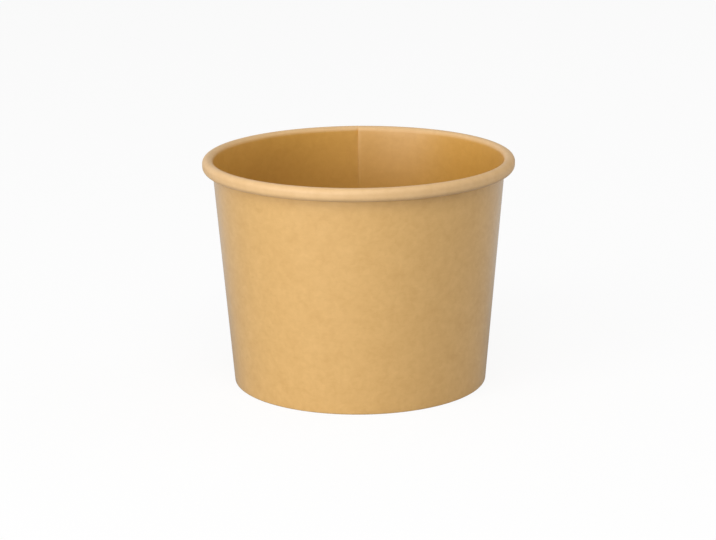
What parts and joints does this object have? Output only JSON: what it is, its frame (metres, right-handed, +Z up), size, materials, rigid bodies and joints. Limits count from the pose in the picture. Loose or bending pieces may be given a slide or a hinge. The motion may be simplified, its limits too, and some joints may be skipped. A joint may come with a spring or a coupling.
{
  "type": "paper ice cream tub",
  "caption": "Tapered round kraft board tub with a rolled rim, a glued lap seam and a recessed bottom disc held by a folded hem; holds ice cream and takes a press-fit lid.",
  "frame": {"origin": "centre of the ring that the tub stands on", "axes": "+Z up through the open mouth; the lap seam is at +Y, the back of the picture's view"},
  "size_m": [0.097, 0.097, 0.0717],
  "materials": {
    "wall_board": "kraft board, faintly mottled, with a soft sheen",
    "disc_board": "kraft board, faintly mottled, with a soft sheen"
  },
  "bodies": {
    "root": {"side_wall": "wall_board", "bottom_disc": "disc_board"}
  },
  "joints": []
}
